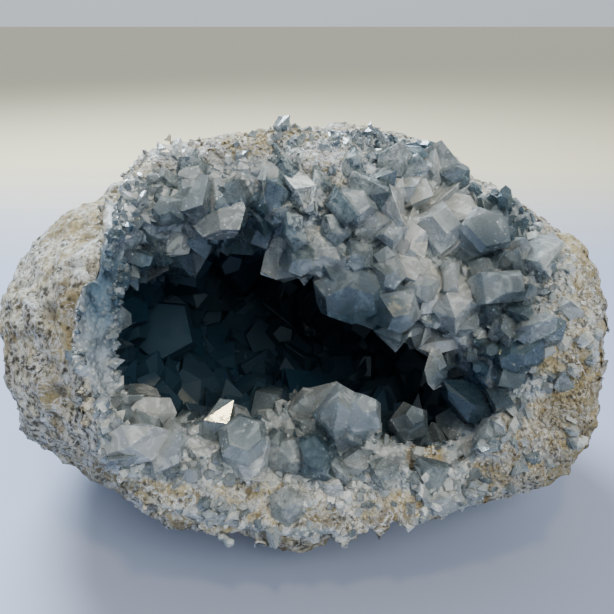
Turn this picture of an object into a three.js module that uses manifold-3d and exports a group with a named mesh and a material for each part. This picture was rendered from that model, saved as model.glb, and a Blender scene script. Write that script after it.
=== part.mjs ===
// A celestite geode: a lumpy nodule of host rock, broken open at the front, and the crust of
// blue crystals, grown together, that lines its hollow and covers the broken face around it.
// Millimetres, +Z up. The geode stands on its small flat spot, opening towards -Y and a little up.

import * as THREE from 'three';
import Module from 'manifold-3d';
import { ConvexGeometry } from 'three/addons/geometries/ConvexGeometry.js';
import { mergeVertices } from 'three/addons/utils/BufferGeometryUtils.js';

const wasm = await Module();
wasm.setup();

const vec = (x, y, z) => new THREE.Vector3(x, y, z);
const { degToRad, radToDeg } = THREE.MathUtils;
const GOLDEN_ANGLE = Math.PI * (3 - Math.sqrt(5));

// The rock: a squarish egg, cut off flat where it stands.
const ROCK_CENTRE = vec(0, 2, 50);
const ROCK_RADII = vec(76, 58, 51);
const ROCK_SQUARENESS = 2.2;
const ROCK_DETAIL = 10;
const ROCK_GRAIN = 3;
const ROCK_GRAIN_SIZE = 15;
const STANDING_SPOT_HEIGHT = 1.6;
const FLOOR_SIZE = 400;

// Lumps and hollows on the rock: the way each one faces, how far it stands out, how wide it is.
const ROCK_LUMPS = [
  { facing: vec(-1, -0.5, 0.2), height: 3, width: 26 },
  { facing: vec(-0.95, 0.4, -0.3), height: 8, width: 22 },
  { facing: vec(-0.85, -0.1, 0.6), height: -4, width: 14 },
  { facing: vec(-0.5, 0.1, 0.9), height: 1, width: 18 },
  { facing: vec(0.3, 0, 1), height: 4, width: 18 },
  { facing: vec(1, -0.1, 0), height: 5, width: 26 },
  { facing: vec(0.85, -0.35, -0.45), height: 6, width: 20 },
  { facing: vec(0.75, -0.15, 0.7), height: -4, width: 18 },
  { facing: vec(-0.7, -0.55, -0.5), height: -3, width: 22 },
  { facing: vec(-0.1, -0.75, -0.7), height: 2, width: 18 },
  { facing: vec(0.5, -0.6, -0.7), height: -8, width: 22 },
  { facing: vec(0.1, 1, -0.2), height: 4, width: 30 },
  { facing: vec(-0.5, 0.9, 0.4), height: -4, width: 22 },
  { facing: vec(0.6, 0.8, 0.3), height: 5, width: 24 },
];

// The hollow inside, an egg set back from the broken face.
const HOLLOW_CENTRE = vec(-2, -12, 53);
const HOLLOW_RADII = vec(54, 46, 32);
const HOLLOW_SQUARENESS = 2.3;
const HOLLOW_DETAIL = 4;
const HOLLOW_GRAIN = 1.5;
const HOLLOW_GRAIN_SIZE = 34;
const HOLLOW_LUMPS = [
  { facing: vec(0.9, -0.4, -0.4), height: 4, width: 26 },
  { facing: vec(-0.62, -0.45, 0.65), height: 12, width: 26 },
  { facing: vec(0.32, -0.6, 0.72), height: -16, width: 32 },
  { facing: vec(0.85, -0.38, 0.32), height: -17, width: 24 },
  { facing: vec(0, 0.4, 0.9), height: 4, width: 24 },
  { facing: vec(0, -0.85, -0.55), height: -13, width: 32 },
  { facing: vec(0.26, -0.77, -0.59), height: -9, width: 17 },
  { facing: vec(-0.45, -0.78, -0.43), height: -8, width: 24 },
];

// The broken face leans back from upright and turns a little towards +X. On it x runs across and
// y runs up the slope, and each swell stands out from it by its height.
const BREAK_CENTRE = vec(0, -25, 64);
const BREAK_LEAN = 33;
const BREAK_TURN = 6;
const BREAK_SIZE = vec(190, 160, 100);
const BREAK_CELLS = [15, 13, 1];
const BREAK_GRAIN = 2.4;
const BREAK_GRAIN_SIZE = 30;
const BREAK_SWELLS = [
  { x: -66, y: 4, height: 36, width: 28 },
  { x: 16, y: 30, height: 7, width: 20 },
  { x: -10, y: -44, height: -6, width: 30 },
  { x: 74, y: -8, height: 10, width: 22 },
];

// The crust: the layer that the crystals stand on, and the gap between it and the rock.
const CRUST_THICKNESS = 4;
const CRUST_RIM_DETAIL = 6;
const SEAM_GAP = 0.4;
const MERGE_DISTANCE = 1e-4;

// The second, finer grain on every wall, as shares of the first.
const FINE_GRAIN_HEIGHT = 0.5;
const FINE_GRAIN_SIZE = 0.43;

// Middling crystals are spread over the wall of the hollow and over the broken face. Pairs are
// ranges, and all but the sizes and the tilt are shares of a crystal's size.
const HOLLOW_SPREAD = { count: 38, sizes: [11, 17], heights: [0.7, 1.1], tilt: 40 };
const BREAK_SPREAD = { count: 108, sizes: [8, 12], heights: [0.65, 0.95], tilt: 50 };
const BREAK_REACH = { across: 68, up: 56 };
const CHANCE_HEADS = ['point', 'ridge', 'ridge', 'ridge', 'flat'];
const CHANCE_WIDTHS = [0.9, 1.25];
const CHANCE_THICKNESSES = [0.7, 1];
const CHANCE_CROWNS = [0.3, 0.6];
const CHANCE_SLANTS = [-0.15, 0.15];
const FOUR_SIDED_SHARE = 0.85;
const ROOT_DEPTH = 1.6;
const FARTHEST_WALL = 24;
const LEAST_COVER = 2;
const LOWEST_TIP = 27;
const CROWDING = 0.55;

// The shapes that a crystal's head takes: how many sides, how it closes, how tall it is as a share
// of the crystal's thickness, and how wide a flat head's own face is as a share of the crystal.
const SLAB = { sides: 4, head: 'flat', crown: 0.35, face: 0.5 };
const BLOCK = { sides: 5, head: 'flat', crown: 0.45, face: 0.45 };
const PLATE = { sides: 6, head: 'flat', crown: 0.25, face: 0.65 };
const FACET = { sides: 5, head: 'flat', crown: 0.15, face: 0.85 };
const WEDGE = { sides: 4, head: 'ridge', crown: 0.55 };
const GEM = { sides: 5, head: 'ridge', crown: 0.55 };
const SPIRE = { sides: 5, head: 'point', crown: 0.8 };
const CHANCE_FACE = 0.45;
const RIDGE_SHARE = 0.25;
const RIDGE_DROP = 0.12;
const ROOT_SHARE = 0.75;

// The big crystals, placed one by one: where the tip is, which way it points, and its twist.
const BIG_CRYSTALS = [
  // wide block
  { tip: vec(-39, -1, 50), axis: vec(0.2, -0.8, 0.6), width: 22, thickness: 21, form: FACET, twist: 20 },
  // under block
  { tip: vec(-38, -1, 39), axis: vec(0.2, -0.6, 0.8), width: 14, thickness: 12, form: WEDGE, twist: 60 },
  // hanging dark
  { tip: vec(-14, 9, 72), axis: vec(0.1, -0.9, -0.3), width: 14, thickness: 19, form: FACET, twist: 10 },
  // teal point
  { tip: vec(-18, 11, 58), axis: vec(0.1, -0.9, -0.5), width: 17, thickness: 14, form: GEM, twist: 40 },
  // bright blue
  { tip: vec(-2, -28, 86), axis: vec(-0.2, -1, 0.1), width: 6, thickness: 10, form: BLOCK, twist: 0 },
  // pentagon
  { tip: vec(0, -27, 78), axis: vec(-0.1, -1, -0.1), width: 14, thickness: 10, form: BLOCK, twist: 18 },
  // blue sparkle
  { tip: vec(6, -28, 77), axis: vec(-0.2, -1, 0.1), width: 7, thickness: 8, form: GEM, twist: 20 },
  // pale pair
  { tip: vec(20, -30, 76), axis: vec(0.1, -1, 0.1), width: 10, thickness: 9, form: BLOCK, twist: 40 },
  // lip inner
  { tip: vec(28, -31, 73), axis: vec(0.1, -1, 0), width: 9, thickness: 8, form: GEM, twist: 0 },
  // round dark
  { tip: vec(11, -30, 70), axis: vec(-0.1, -1, -0.2), width: 19, thickness: 16, form: PLATE, twist: 0 },
  // side round
  { tip: vec(22, -33, 67), axis: vec(0.1, -1, -0.2), width: 14, thickness: 12, form: BLOCK, twist: 30 },
  // drooping
  { tip: vec(22, -31, 60), axis: vec(0.1, -0.9, -0.5), width: 10, thickness: 8, form: GEM, twist: 0 },
  // finger root
  { tip: vec(34, -33, 66), axis: vec(-0.1, -0.9, -0.4), width: 10, thickness: 10, form: GEM, twist: 0 },
  // finger
  { tip: vec(30, -32, 50), axis: vec(-0.3, -0.7, -0.7), width: 6, thickness: 6, form: GEM, twist: 0 },
  // bright blade
  { tip: vec(34, -29, 77), axis: vec(0.1, -0.9, 0.5), width: 5, thickness: 10, form: WEDGE, twist: 0 },
  // boxy pale
  { tip: vec(32, -24, 88), axis: vec(0.1, -0.8, 0.6), width: 12, thickness: 14, form: SLAB, twist: 40 },
  // square one
  { tip: vec(20, -21, 91), axis: vec(-0.1, -0.7, 0.7), width: 6, thickness: 6, form: SLAB, twist: 45 },
  // square two
  { tip: vec(20, -26, 86), axis: vec(-0.1, -0.9, 0.3), width: 9, thickness: 7, form: SLAB, twist: 50 },
  // mid top
  { tip: vec(12, -29, 80), axis: vec(-0.1, -1, 0.1), width: 9, thickness: 9, form: BLOCK, twist: 0 },
  // mid top left
  { tip: vec(6, -27, 88), axis: vec(-0.3, -0.8, 0.5), width: 8, thickness: 9, form: GEM, twist: 10 },
  // dark top
  { tip: vec(28, -14, 99), axis: vec(0.3, -0.6, 0.7), width: 15, thickness: 10, form: GEM, twist: 30 },
  // top cluster a
  { tip: vec(12, -17, 102), axis: vec(0.1, -0.5, 0.9), width: 8, thickness: 8, form: GEM, twist: 0 },
  // top cluster b
  { tip: vec(19, -18, 97), axis: vec(0.2, -0.7, 0.7), width: 8, thickness: 8, form: BLOCK, twist: 50 },
  // top cluster c
  { tip: vec(3, -20, 98), axis: vec(-0.3, -0.6, 0.7), width: 7, thickness: 8, form: WEDGE, twist: 0 },
  // ridge right a
  { tip: vec(42, -23, 86), axis: vec(0.3, -0.7, 0.7), width: 14, thickness: 12, form: FACET, twist: 10 },
  // ridge right b
  { tip: vec(46, -32, 76), axis: vec(0.4, -0.8, 0.5), width: 15, thickness: 10, form: SLAB, twist: 20 },
  // ridge right c
  { tip: vec(55, -23, 80), axis: vec(0.5, -0.6, 0.6), width: 8, thickness: 8, form: GEM, twist: 0 },
  // left rim block
  { tip: vec(-40, 4, 68), axis: vec(0.3, -0.8, 0.5), width: 11, thickness: 16, form: BLOCK, twist: 0 },
  // left rim low
  { tip: vec(-50, -2, 61), axis: vec(0.4, -0.7, 0.6), width: 8, thickness: 10, form: WEDGE, twist: 0 },
  // crown left a
  { tip: vec(-30, -25, 91), axis: vec(-0.1, -0.9, 0.5), width: 9, thickness: 8, form: BLOCK, twist: 0 },
  // crown left b
  { tip: vec(-27, 7, 78), axis: vec(0, -1, 0.2), width: 9, thickness: 10, form: WEDGE, twist: 0 },
  // crown left c
  { tip: vec(-22, 18, 69), axis: vec(0.1, -1, 0), width: 9, thickness: 10, form: GEM, twist: 0 },
  // crown left d
  { tip: vec(-25, -19, 95), axis: vec(0, -0.7, 0.7), width: 8, thickness: 6, form: SLAB, twist: 10 },
  // crown left e
  { tip: vec(-16, -18, 94), axis: vec(0.1, -0.7, 0.7), width: 7, thickness: 6, form: SLAB, twist: 45 },
  // crown left f
  { tip: vec(-8, -22, 91), axis: vec(0, -0.9, 0.3), width: 7, thickness: 8, form: GEM, twist: 0 },
  // clear point
  { tip: vec(-37, -29, 48), axis: vec(-0.1, -0.4, 0.9), width: 9, thickness: 10, form: SPIRE, twist: 0 },
  // clear low
  { tip: vec(-34, -33, 45), axis: vec(0.1, -0.6, 0.8), width: 7, thickness: 8, form: WEDGE, twist: 0 },
  // golden flat
  { tip: vec(-24, -35, 41), axis: vec(0.1, -0.5, 0.8), width: 10, thickness: 8, form: SLAB, twist: 60 },
  // plate small
  { tip: vec(-16, -37, 44), axis: vec(0, -0.4, 0.9), width: 12, thickness: 8, form: PLATE, twist: 0 },
  // plate large
  { tip: vec(-12, -47, 48), axis: vec(0.1, -0.5, 0.8), width: 12, thickness: 12, form: PLATE, twist: 15 },
  // lip white
  { tip: vec(-5, -43, 44), axis: vec(0.2, -0.7, 0.7), width: 6, thickness: 6, form: GEM, twist: 0 },
  // lip pale a
  { tip: vec(8, -43, 56), axis: vec(-0.1, -0.3, 0.9), width: 12, thickness: 12, form: GEM, twist: 0 },
  // lip pale b
  { tip: vec(14, -45, 54), axis: vec(0.2, -0.5, 0.8), width: 11, thickness: 10, form: BLOCK, twist: 0 },
  // lip pale c
  { tip: vec(10, -45, 48), axis: vec(0, -0.8, 0.7), width: 10, thickness: 9, form: WEDGE, twist: 0 },
  // lip blue
  { tip: vec(26, -37, 46), axis: vec(0.1, -0.6, 0.8), width: 10, thickness: 10, form: BLOCK, twist: 0 },
  // lip low
  { tip: vec(4, -45, 38), axis: vec(-0.1, -0.7, 0.7), width: 6, thickness: 8, form: WEDGE, twist: 90 },
  // lip right
  { tip: vec(45, -28, 39), axis: vec(0.2, -0.6, 0.8), width: 8, thickness: 8, form: GEM, twist: 0 },
  // back mid
  { tip: vec(-6, 16, 40), axis: vec(0.1, -0.9, 0.3), width: 14, thickness: 12, form: BLOCK, twist: 0 },
  // back blade
  { tip: vec(-15, 20, 46), axis: vec(-0.3, -0.8, 0.5), width: 11, thickness: 6, form: WEDGE, twist: 0 },
  // floor left
  { tip: vec(-24, 1, 35), axis: vec(0.1, -0.3, 0.9), width: 12, thickness: 11, form: SLAB, twist: 20 },
  // floor mid
  { tip: vec(-15, 2, 34), axis: vec(-0.2, -0.2, 0.9), width: 15, thickness: 10, form: WEDGE, twist: 0 },
  // floor slab a
  { tip: vec(0, 3, 32), axis: vec(0.1, -0.2, 1), width: 14, thickness: 10, form: SLAB, twist: 60 },
  // floor slab b
  { tip: vec(12, 6, 36), axis: vec(0.2, -0.5, 0.9), width: 16, thickness: 11, form: SLAB, twist: 10 },
  // floor right
  { tip: vec(24, 2, 35), axis: vec(-0.2, -0.3, 0.9), width: 12, thickness: 10, form: GEM, twist: 0 },
  // pocket right
  { tip: vec(44, -16, 40), axis: vec(-0.3, -0.7, 0.6), width: 9, thickness: 9, form: SLAB, twist: 0 },
];

// One repeatable row of chance numbers from 0 to 1.
function chanceFrom(seed) {
  let state = seed;
  return () => {
    state = (state * 1664525 + 1013904223) % 4294967296;
    return state / 4294967296;
  };
}

const chance = chanceFrom(20241);
const between = (low, high) => low + (high - low) * chance();

// Smooth noise from -1 to 1 that changes over the given distance.
function noise(point, size) {
  const scaled = point.clone().divideScalar(size);
  const corner = scaled.clone().floor();
  const inside = scaled.sub(corner);
  const ease = (t) => t * t * (3 - 2 * t);
  const corners = (dx, dy, dz) => {
    const mixed = (corner.x + dx) * 127.1 + (corner.y + dy) * 311.7 + (corner.z + dz) * 74.7;
    const swing = Math.sin(mixed) * 43758.5453;
    return (swing - Math.floor(swing)) * 2 - 1;
  };
  let sum = 0;
  for (const dx of [0, 1]) {
    for (const dy of [0, 1]) {
      for (const dz of [0, 1]) {
        const shareX = dx ? ease(inside.x) : 1 - ease(inside.x);
        const shareY = dy ? ease(inside.y) : 1 - ease(inside.y);
        const shareZ = dz ? ease(inside.z) : 1 - ease(inside.z);
        sum += corners(dx, dy, dz) * shareX * shareY * shareZ;
      }
    }
  }
  return sum;
}

// A geometry as a manifold solid. Only positions count, so that shared corners can be merged.
function solidFrom(geometry) {
  const bare = geometry.clone();
  bare.deleteAttribute('normal');
  bare.deleteAttribute('uv');
  const merged = mergeVertices(bare, MERGE_DISTANCE);
  return new wasm.Manifold(new wasm.Mesh({
    numProp: 3,
    vertProperties: new Float32Array(merged.attributes.position.array),
    triVerts: new Uint32Array(merged.index.array),
  }));
}

function geometryFrom(solid) {
  const mesh = solid.getMesh();
  const geometry = new THREE.BufferGeometry();
  geometry.setAttribute('position', new THREE.BufferAttribute(mesh.vertProperties, mesh.numProp));
  geometry.setIndex(new THREE.BufferAttribute(mesh.triVerts, 1));
  geometry.computeVertexNormals();
  return geometry;
}

// The one body that is left when chips and closed-in bubbles are dropped.
function largestBody(solid) {
  const bodies = solid.decompose();
  return bodies.reduce((best, body) => (body.volume() > best.volume() ? body : best));
}

// How far an egg's wall is from its centre, in the direction given.
function eggReach(egg, direction) {
  const power = egg.squareness;
  const share = Math.abs(direction.x / egg.radii.x) ** power
    + Math.abs(direction.y / egg.radii.y) ** power
    + Math.abs(direction.z / egg.radii.z) ** power;
  let reach = share ** (-1 / power);
  for (const lump of egg.lumps) {
    const angle = radToDeg(direction.angleTo(lump.facing));
    reach += lump.height * Math.exp(-((angle / lump.width) ** 2));
  }
  const wall = direction.clone().multiplyScalar(reach);
  const coarse = egg.grain * noise(wall, egg.grainSize);
  const fine = egg.grain * FINE_GRAIN_HEIGHT * noise(wall, egg.grainSize * FINE_GRAIN_SIZE);
  return reach + coarse + fine;
}

function eggSolid(egg, growth) {
  const geometry = new THREE.IcosahedronGeometry(1, egg.detail);
  const positions = geometry.attributes.position;
  const direction = vec(0, 0, 0);
  for (let i = 0; i < positions.count; i += 1) {
    direction.fromBufferAttribute(positions, i).normalize();
    const reach = eggReach(egg, direction) + growth;
    const point = direction.multiplyScalar(reach).add(egg.centre);
    positions.setXYZ(i, point.x, point.y, point.z);
  }
  return solidFrom(geometry);
}

const rock = {
  centre: ROCK_CENTRE,
  radii: ROCK_RADII,
  squareness: ROCK_SQUARENESS,
  detail: ROCK_DETAIL,
  lumps: ROCK_LUMPS,
  grain: ROCK_GRAIN,
  grainSize: ROCK_GRAIN_SIZE,
};

const hollow = {
  centre: HOLLOW_CENTRE,
  radii: HOLLOW_RADII,
  squareness: HOLLOW_SQUARENESS,
  detail: HOLLOW_DETAIL,
  lumps: HOLLOW_LUMPS,
  grain: HOLLOW_GRAIN,
  grainSize: HOLLOW_GRAIN_SIZE,
};

// The broken face's own frame: x across, y up the slope, z out of the rock.
const breakFrame = new THREE.Matrix4().makeTranslation(BREAK_CENTRE)
  .multiply(new THREE.Matrix4().makeRotationZ(degToRad(BREAK_TURN)))
  .multiply(new THREE.Matrix4().makeRotationX(degToRad(90 - BREAK_LEAN)));
const breakFrameBack = breakFrame.clone().invert();

function breakHeight(x, y) {
  let height = BREAK_GRAIN * noise(vec(x, y, 0), BREAK_GRAIN_SIZE);
  for (const swell of BREAK_SWELLS) {
    const away = Math.hypot(x - swell.x, y - swell.y) / swell.width;
    height += swell.height * Math.exp(-(away ** 2));
  }
  return height;
}

// Everything in front of the broken face, moved out by the lift.
function openingSolid(lift) {
  const size = BREAK_SIZE;
  const geometry = new THREE.BoxGeometry(size.x, size.y, size.z, ...BREAK_CELLS);
  geometry.translate(0, 0, size.z / 2);
  const positions = geometry.attributes.position;
  for (let i = 0; i < positions.count; i += 1) {
    if (positions.getZ(i) < size.z / 2) {
      positions.setZ(i, breakHeight(positions.getX(i), positions.getY(i)) + lift);
    }
  }
  geometry.applyMatrix4(breakFrame);
  return solidFrom(geometry);
}

function isInOpening(point) {
  const local = point.clone().applyMatrix4(breakFrameBack);
  return local.z > breakHeight(local.x, local.y);
}

function depthInEgg(egg, point) {
  const offset = point.clone().sub(egg.centre);
  return eggReach(egg, offset.clone().normalize()) - offset.length();
}

const isInHollow = (point) => depthInEgg(hollow, point) > 0;

const isOpenSpace = (point) => isInHollow(point) || isInOpening(point);

// A crystal: a prism of the given sides along +Z, its head drawn in to a point, a ridge or a
// small flat face that leans aside by the slant. The tip is at the origin and the root reaches
// down by its length.
function crystalGeometry({ width, thickness, length, sides, tip, head, face, slant }) {
  const corners = [];
  const ring = (height, scaleX, scaleY, shift) => {
    for (let i = 0; i < sides; i += 1) {
      const angle = ((i + 0.5) / sides) * Math.PI * 2;
      const x = Math.cos(angle) * width * 0.5 * scaleX + shift;
      const y = Math.sin(angle) * thickness * 0.5 * scaleY;
      corners.push(vec(x, y, height));
    }
  };
  const shift = slant * width;
  ring(-length, ROOT_SHARE, ROOT_SHARE, 0);
  ring(-tip, 1, 1, 0);
  if (head === 'point') {
    corners.push(vec(shift, 0, 0));
  } else if (head === 'ridge') {
    const half = thickness * RIDGE_SHARE;
    corners.push(vec(shift, -half, 0), vec(shift, half, -tip * RIDGE_DROP));
  } else {
    ring(0, face, face, shift);
  }
  return new ConvexGeometry(corners);
}

// Turns +Z to the axis, with a twist about it, and moves the tip to its place.
function placing(tipPoint, axis, twist) {
  const turn = new THREE.Quaternion().setFromUnitVectors(vec(0, 0, 1), axis);
  turn.multiply(new THREE.Quaternion().setFromAxisAngle(vec(0, 0, 1), twist));
  return new THREE.Matrix4().compose(tipPoint, turn, vec(1, 1, 1));
}

// How far behind its tip a crystal meets the wall that it grows from.
function wallDistance(tipPoint, axis) {
  const point = tipPoint.clone();
  let distance = 0;
  while (distance < FARTHEST_WALL && isOpenSpace(point)) {
    point.addScaledVector(axis, -1);
    distance += 1;
  }
  return distance;
}

// A crystal whose root ends inside the layer on the wall, which is that far behind its tip.
function crystalSolid(tipPoint, axis, toWall, shape) {
  const geometry = crystalGeometry({ ...shape, length: toWall - ROOT_DEPTH });
  geometry.applyMatrix4(placing(tipPoint, axis, shape.twist));
  return solidFrom(geometry);
}

function chanceShape(size) {
  return {
    width: size * between(...CHANCE_WIDTHS),
    thickness: size * between(...CHANCE_THICKNESSES),
    sides: chance() < FOUR_SIDED_SHARE ? 4 : 5,
    tip: size * between(...CHANCE_CROWNS),
    head: CHANCE_HEADS[Math.floor(chance() * CHANCE_HEADS.length)],
    face: CHANCE_FACE,
    slant: between(...CHANCE_SLANTS),
    twist: between(0, Math.PI * 2),
  };
}

function tilted(axis, most) {
  const side = vec(between(-1, 1), between(-1, 1), between(-1, 1)).cross(axis).normalize();
  return axis.clone().applyAxisAngle(side, degToRad(between(0, most)));
}

function* bigCrystals() {
  for (const big of BIG_CRYSTALS) {
    const shape = {
      width: big.width,
      thickness: big.thickness,
      sides: big.form.sides,
      head: big.form.head,
      face: big.form.face,
      tip: big.form.crown * Math.min(big.width, big.thickness),
      slant: 0,
      twist: degToRad(big.twist),
    };
    const axis = big.axis.clone().normalize();
    yield crystalSolid(big.tip, axis, wallDistance(big.tip, axis), shape);
  }
}

// Whether a small crystal with this tip would be swallowed by a big one.
function isInBigCrystal(tipPoint) {
  return BIG_CRYSTALS.some((big) => tipPoint.distanceTo(big.tip) < big.width * CROWDING);
}

// Crystals spread evenly over the wall of the hollow, pointing into it.
function* hollowCrystals() {
  const { count, sizes, heights, tilt } = HOLLOW_SPREAD;
  for (let i = 0; i < count; i += 1) {
    const z = 1 - (2 * (i + 0.5)) / count;
    const ring = Math.sqrt(1 - z * z);
    const direction = vec(Math.cos(GOLDEN_ANGLE * i) * ring, Math.sin(GOLDEN_ANGLE * i) * ring, z);
    const wall = direction.clone().multiplyScalar(eggReach(hollow, direction)).add(hollow.centre);
    const size = between(...sizes);
    const axis = tilted(direction.clone().negate(), tilt);
    const shape = chanceShape(size);
    const height = size * between(...heights);
    const tipPoint = wall.clone().addScaledVector(axis, height);
    if (!isInOpening(wall) && !isInBigCrystal(tipPoint)) {
      yield crystalSolid(tipPoint, axis, height, shape);
    }
  }
}

// Crystals spread evenly over the broken face, pointing out of it.
function* breakCrystals() {
  const { count, sizes, heights, tilt } = BREAK_SPREAD;
  const outward = vec(0, 0, 1).transformDirection(breakFrame);
  for (let i = 0; i < count; i += 1) {
    const reach = Math.sqrt((i + 0.5) / count);
    const x = Math.cos(GOLDEN_ANGLE * i) * reach * BREAK_REACH.across;
    const y = Math.sin(GOLDEN_ANGLE * i) * reach * BREAK_REACH.up;
    const face = vec(x, y, breakHeight(x, y)).applyMatrix4(breakFrame);
    const size = between(...sizes);
    const axis = tilted(outward, tilt);
    const shape = chanceShape(size);
    const height = size * between(...heights);
    const tipPoint = face.clone().addScaledVector(axis, height);
    const isOnRock = depthInEgg(rock, tipPoint) > LEAST_COVER && !isInHollow(face);
    if (isOnRock && tipPoint.z > LOWEST_TIP && !isInBigCrystal(tipPoint)) {
      yield crystalSolid(tipPoint, axis, height, shape);
    }
  }
}

// Everything below the standing spot.
function floorSolid() {
  const geometry = new THREE.BoxGeometry(FLOOR_SIZE, FLOOR_SIZE, FLOOR_SIZE);
  geometry.translate(0, 0, STANDING_SPOT_HEIGHT - FLOOR_SIZE / 2);
  return solidFrom(geometry);
}

function makeRind() {
  const open = eggSolid(hollow, 0).add(openingSolid(0));
  return largestBody(eggSolid(rock, 0).subtract(floorSolid()).subtract(open));
}

function makeCrust() {
  const room = eggSolid(hollow, -SEAM_GAP).add(openingSolid(SEAM_GAP));
  const clear = eggSolid(hollow, -CRUST_THICKNESS).add(openingSolid(CRUST_THICKNESS));
  const reachOfCrust = eggSolid({ ...rock, detail: CRUST_RIM_DETAIL }, 0);
  let crust = room.intersect(reachOfCrust).subtract(clear);
  for (const crystal of [...bigCrystals(), ...hollowCrystals(), ...breakCrystals()]) {
    crust = crust.add(crystal);
  }
  return largestBody(crust.intersect(room));
}

const rindMaterial = new THREE.MeshStandardMaterial({
  color: 0x8d8672,
  roughness: 0.92,
  metalness: 0,
  flatShading: true,
});

const crystalMaterial = new THREE.MeshStandardMaterial({
  color: 0x7f98a4,
  roughness: 0.15,
  metalness: 0,
  transparent: true,
  opacity: 0.75,
  flatShading: true,
});

function namedMesh(name, solid, material) {
  const mesh = new THREE.Mesh(geometryFrom(solid), material);
  mesh.name = name;
  return mesh;
}

const geode = new THREE.Group();
geode.add(namedMesh('rind', makeRind(), rindMaterial));
geode.add(namedMesh('crystal_crust', makeCrust(), crystalMaterial));

// The origin is the middle of the footprint, at the height of the standing spot.
const box = new THREE.Box3().setFromObject(geode, true);
const middle = box.getCenter(vec(0, 0, 0));
geode.position.set(-middle.x, -middle.y, -box.min.z);

export default geode;
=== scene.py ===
"""A celestite geode: rough host rock, the druse bed that lines its hollow, and the crystals on it.

Metres, +Z up, opening towards -Y. Lengths named in millimetres are multiplied by MM.
"""
import math

import bmesh
import bpy
import numpy as np
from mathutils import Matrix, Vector
from mathutils.bvhtree import BVHTree
from mathutils.kdtree import KDTree


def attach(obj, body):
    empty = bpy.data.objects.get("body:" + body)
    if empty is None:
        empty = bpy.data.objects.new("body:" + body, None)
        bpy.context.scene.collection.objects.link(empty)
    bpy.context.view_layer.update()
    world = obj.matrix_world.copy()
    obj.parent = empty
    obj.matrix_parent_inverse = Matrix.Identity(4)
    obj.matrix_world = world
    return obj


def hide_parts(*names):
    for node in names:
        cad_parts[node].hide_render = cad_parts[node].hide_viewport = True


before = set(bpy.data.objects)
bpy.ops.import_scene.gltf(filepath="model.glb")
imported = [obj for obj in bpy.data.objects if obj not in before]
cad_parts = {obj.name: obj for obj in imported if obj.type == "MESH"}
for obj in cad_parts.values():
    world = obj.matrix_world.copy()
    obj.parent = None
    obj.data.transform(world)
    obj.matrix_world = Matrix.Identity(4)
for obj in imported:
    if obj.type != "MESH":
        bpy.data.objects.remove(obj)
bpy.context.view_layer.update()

MM = 0.001
SEED = 4117
RNG = np.random.default_rng(SEED)
# The grid that the rock and the bed are remeshed with.
VOXEL_SIZE = 1.05 * MM

# The camera stands in front of the geode and looks down into it.
CAMERA_PLACE = np.array([0.0, -0.167, 0.126])
CAMERA_PITCH = math.radians(24)
FOCAL_PIXELS = 640
FRAME_PIXELS = 614
SENSOR_WIDTH = 36

# The broken face: a point on it and the way it faces.
BREAK_POINT = np.array([-1.3, -31.9, 62.4]) * MM
BREAK_FACING = np.array([0.0877, -0.8341, 0.5446])


# ---------------------------------------------------------------- numbers and noise

# Large odd numbers that stir a cell's place and a seed into a chance number.
STIR_X, STIR_Y, STIR_Z, STIR_SEED = 73856093, 19349663, 83492791, 2654435761
STIR_ONCE, STIR_AGAIN = 1274126177, 2246822519
LOW_32_BITS = 0xFFFFFFFF
LOW_20_BITS = 0xFFFFF
# How many cells the noise moves from one seed to the next.
SEED_SHIFT = 7.31


def smoothstep(low, high, value):
    """Rises from 0 at low to 1 at high and is eased at both ends. Low may be above high."""
    t = np.clip((value - low) / (high - low), 0, 1)
    return t * t * (3 - 2 * t)


def lattice(cell, seed):
    """A chance number from 0 to 1 for each whole-number cell."""
    mixed = cell[..., 0] * STIR_X ^ cell[..., 1] * STIR_Y ^ cell[..., 2] * STIR_Z
    mixed = (mixed ^ (seed * STIR_SEED)) & LOW_32_BITS
    mixed = ((mixed ^ (mixed >> 13)) * STIR_ONCE) & LOW_32_BITS
    mixed = ((mixed ^ (mixed >> 16)) * STIR_AGAIN) & LOW_32_BITS
    return ((mixed >> 7) & LOW_20_BITS) / LOW_20_BITS


def noise(points, size_mm, seed):
    """Smooth noise from -1 to 1 that changes over the given distance."""
    scaled = points / (size_mm * MM) + seed * SEED_SHIFT
    corner = np.floor(scaled).astype(np.int64)
    inside = scaled - corner
    ease = inside * inside * (3 - 2 * inside)
    total = np.zeros(len(points))
    for dx in (0, 1):
        for dy in (0, 1):
            for dz in (0, 1):
                step = np.array([dx, dy, dz])
                share = np.where(step, ease, 1 - ease).prod(axis=1)
                total += share * lattice(corner + step, seed)
    return total * 2 - 1


def cells(points, size_mm, seed):
    """Cellular noise: the distance to the nearest cell's point, in cells, that cell's own three
    chance numbers, and the way from its point."""
    scaled = points / (size_mm * MM)
    corner = np.floor(scaled).astype(np.int64)
    best = np.full(len(points), np.inf)
    chances = np.zeros((len(points), 3))
    away = np.zeros((len(points), 3))
    for dx in (-1, 0, 1):
        for dy in (-1, 0, 1):
            for dz in (-1, 0, 1):
                cell = corner + np.array([dx, dy, dz])
                own = np.stack([lattice(cell, seed + k) for k in range(3)], axis=1)
                way = scaled - (cell + own)
                distance = np.linalg.norm(way, axis=1)
                closer = distance < best
                best = np.where(closer, distance, best)
                chances[closer] = own[closer]
                away[closer] = way[closer]
    return best, chances, away


def photo_pixels(points):
    """Where points show in the camera's frame."""
    way = points - CAMERA_PLACE
    forward = way[:, 1] * math.cos(CAMERA_PITCH) - way[:, 2] * math.sin(CAMERA_PITCH)
    upward = way[:, 1] * math.sin(CAMERA_PITCH) + way[:, 2] * math.cos(CAMERA_PITCH)
    middle = FRAME_PIXELS / 2
    across = middle + FOCAL_PIXELS * way[:, 0] / forward
    return np.stack([across, middle - FOCAL_PIXELS * upward / forward], axis=1)


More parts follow.
